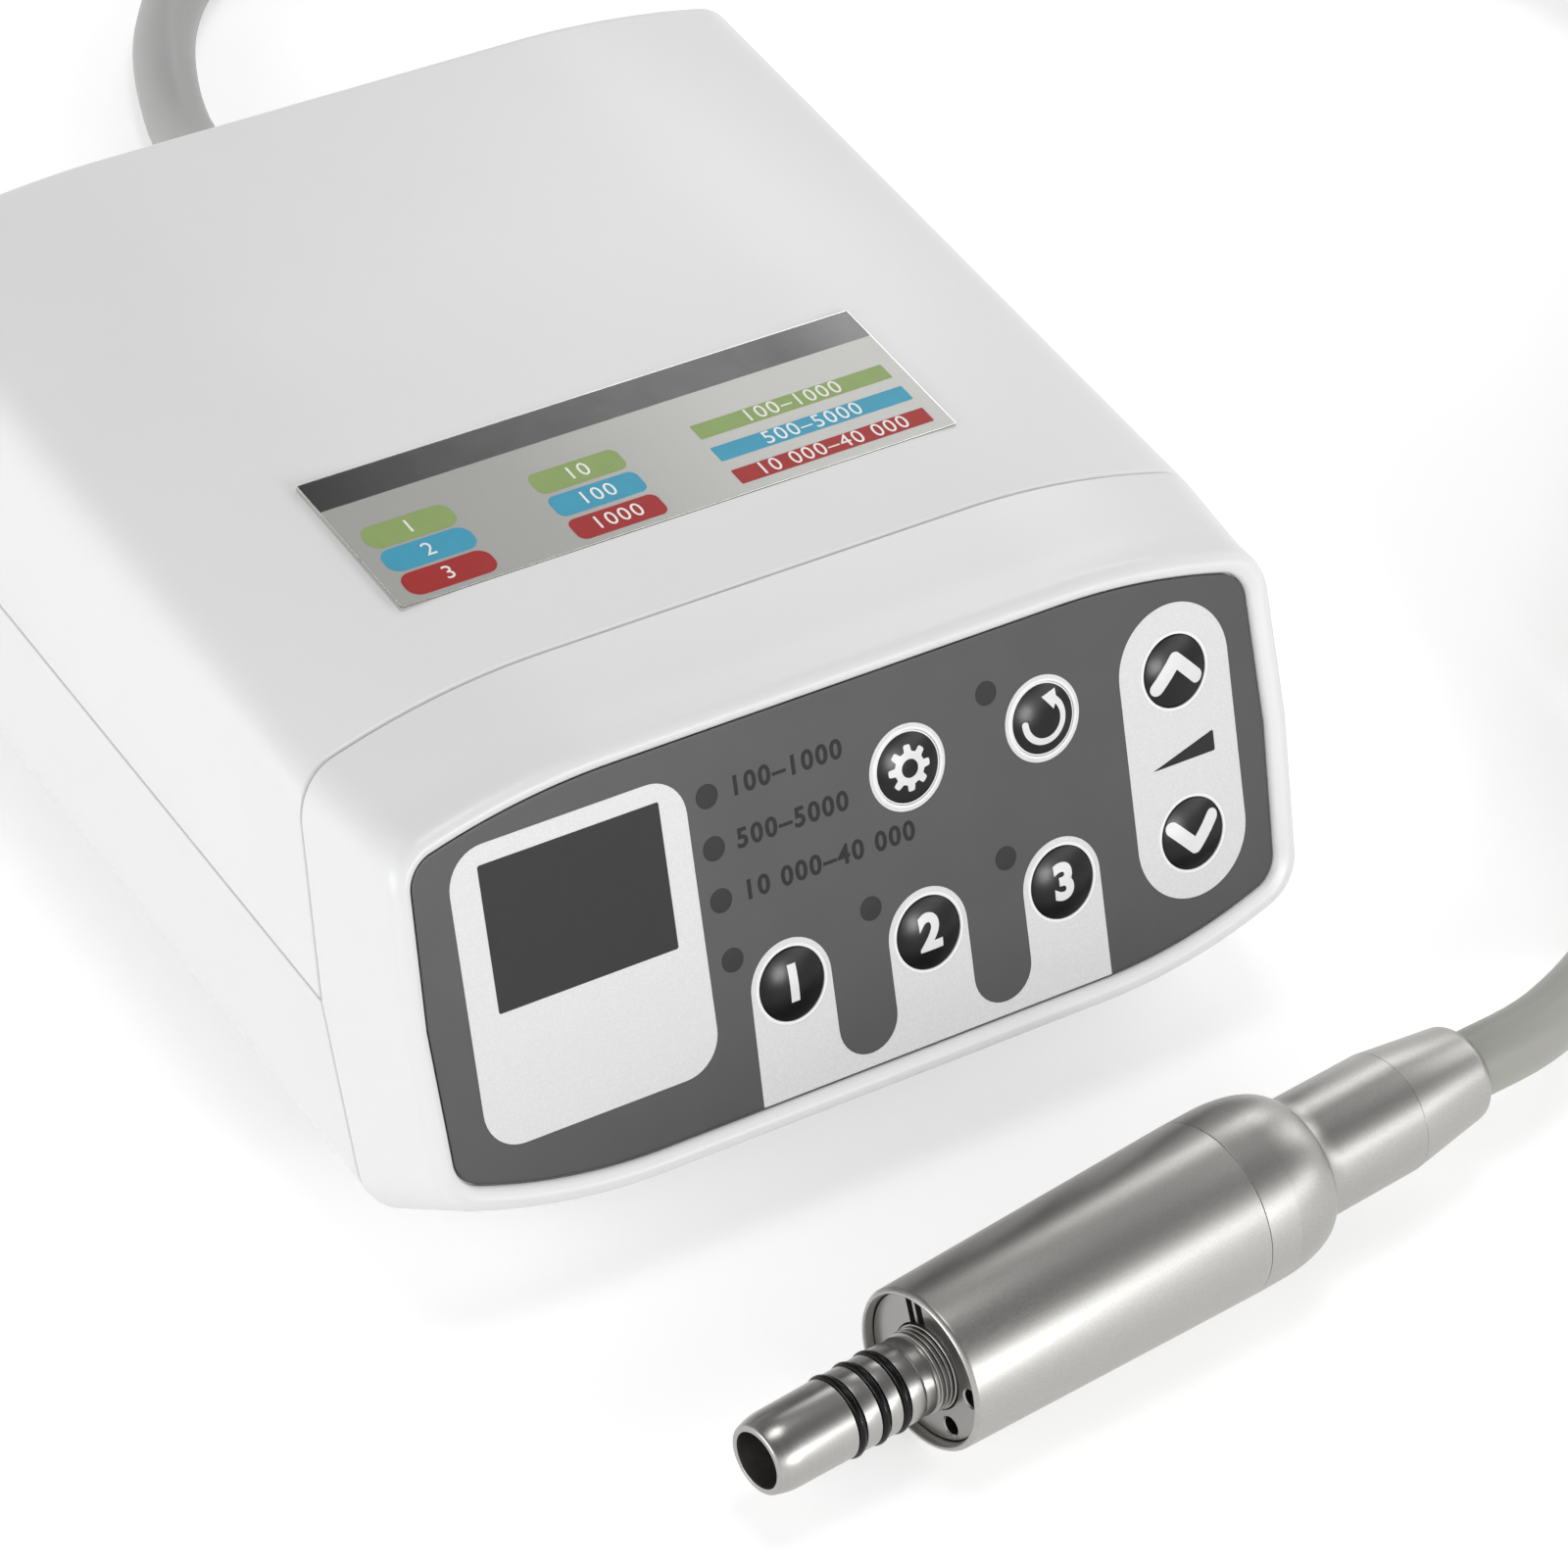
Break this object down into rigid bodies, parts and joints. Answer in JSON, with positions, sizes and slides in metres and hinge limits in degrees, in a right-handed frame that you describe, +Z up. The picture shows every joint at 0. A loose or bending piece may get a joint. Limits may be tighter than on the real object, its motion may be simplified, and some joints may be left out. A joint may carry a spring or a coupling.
{
  "type": "dental micromotor",
  "caption": "Bench-top electric dental micromotor: white control unit with a sloping key panel, a grey drive hose and a steel handpiece motor with an O-ringed nose.",
  "frame": {"origin": "on the bench, under the middle of the box round the control unit and the motor, without the hose", "axes": "+X to the unit's right as seen from the panel, +Y from the panel to the back, +Z up"},
  "size_m": [0.3244, 0.3109, 0.0648],
  "materials": {
    "case_plastic": "semi-gloss",
    "overlay_film": "satin",
    "key_plastic": "glossy",
    "smoked_window": "glossy",
    "lamp_lens": "satin",
    "label_plate": "polished",
    "circuit_board": "matte",
    "satin_steel": "satin",
    "polished_steel": "polished",
    "plain_aluminium": "matte",
    "winding": "satin",
    "magnet_alloy": "satin",
    "black_rubber": "matte",
    "module_casing": "matte",
    "hose_silicone": "satin",
    "fitting_plastic": "satin"
  },
  "bodies": {
    "housing": {"lower_cover": "case_plastic", "upper_cover": "case_plastic", "front_bezel": "case_plastic", "panel_overlay": "overlay_film", "display_window": "smoked_window", "display_module": "smoked_window", "key_board": "circuit_board", "main_board": "circuit_board", "lamp_range_1": "lamp_lens", "lamp_range_2": "lamp_lens", "lamp_range_3": "lamp_lens", "lamp_memory_1": "lamp_lens", "lamp_memory_2": "lamp_lens", "lamp_memory_3": "lamp_lens", "lamp_reverse": "lamp_lens", "top_label": "label_plate", "power_module": "module_casing", "heat_sink": "plain_aluminium", "rear_panel": "fitting_plastic", "power_inlet": "fitting_plastic", "rocker_frame": "fitting_plastic", "hose_gland": "fitting_plastic", "foot_control_socket": "polished_steel", "foot_1": "black_rubber", "foot_2": "black_rubber", "foot_3": "black_rubber", "foot_4": "black_rubber", "case_screw_1": "polished_steel", "case_screw_2": "polished_steel", "case_screw_3": "polished_steel", "case_screw_4": "polished_steel", "motor_sleeve": "satin_steel", "motor_end_cap": "satin_steel", "hose_nut": "satin_steel", "front_plate": "polished_steel", "nose_spigot": "polished_steel", "front_bearing": "polished_steel", "rear_bearing": "polished_steel", "o_ring_1": "black_rubber", "o_ring_2": "black_rubber", "o_ring_3": "black_rubber", "stator": "winding", "hose_box_run": "hose_silicone", "hose_coil": "hose_silicone", "hose_motor_run": "hose_silicone"},
    "rotor": {"rotor_shaft": "polished_steel", "rotor_magnet": "magnet_alloy", "drive_dog": "polished_steel"},
    "power_rocker": {"power_rocker": "fitting_plastic"},
    "key_gear": {"key_gear": "key_plastic"},
    "key_reverse": {"key_reverse": "key_plastic"},
    "key_speed_up": {"key_speed_up": "key_plastic"},
    "key_speed_down": {"key_speed_down": "key_plastic"},
    "key_memory_1": {"key_memory_1": "key_plastic"},
    "key_memory_2": {"key_memory_2": "key_plastic"},
    "key_memory_3": {"key_memory_3": "key_plastic"}
  },
  "joints": [
    {"name": "press_gear", "type": "slide", "parent": "housing", "child": "key_gear", "axis": [0, 0.9011, -0.4337], "range_m": [0, 0.0006], "stiffness_N_per_m": 2500, "springref_m": -0.0002},
    {"name": "press_reverse", "type": "slide", "parent": "housing", "child": "key_reverse", "axis": [0, 0.9011, -0.4337], "range_m": [0, 0.0006], "stiffness_N_per_m": 2500, "springref_m": -0.0002},
    {"name": "press_speed_up", "type": "slide", "parent": "housing", "child": "key_speed_up", "axis": [0, 0.9011, -0.4337], "range_m": [0, 0.0006], "stiffness_N_per_m": 2500, "springref_m": -0.0002},
    {"name": "press_speed_down", "type": "slide", "parent": "housing", "child": "key_speed_down", "axis": [0, 0.9011, -0.4337], "range_m": [0, 0.0006], "stiffness_N_per_m": 2500, "springref_m": -0.0002},
    {"name": "press_memory_1", "type": "slide", "parent": "housing", "child": "key_memory_1", "axis": [0, 0.9011, -0.4337], "range_m": [0, 0.0006], "stiffness_N_per_m": 2500, "springref_m": -0.0002},
    {"name": "press_memory_2", "type": "slide", "parent": "housing", "child": "key_memory_2", "axis": [0, 0.9011, -0.4337], "range_m": [0, 0.0006], "stiffness_N_per_m": 2500, "springref_m": -0.0002},
    {"name": "press_memory_3", "type": "slide", "parent": "housing", "child": "key_memory_3", "axis": [0, 0.9011, -0.4337], "range_m": [0, 0.0006], "stiffness_N_per_m": 2500, "springref_m": -0.0002},
    {"name": "rotor_spin", "type": "hinge", "parent": "housing", "child": "rotor", "pos_m": [-0.02262, -0.09439, 0.0108], "axis": [0.9944, 0.1029, 0.0223], "continuous": true},
    {"name": "rocker_tilt", "type": "hinge", "parent": "housing", "child": "power_rocker", "pos_m": [0.04312, 0.09244, 0.03], "axis": [1, 0, 0], "range_deg": [0, 16]}
  ]
}
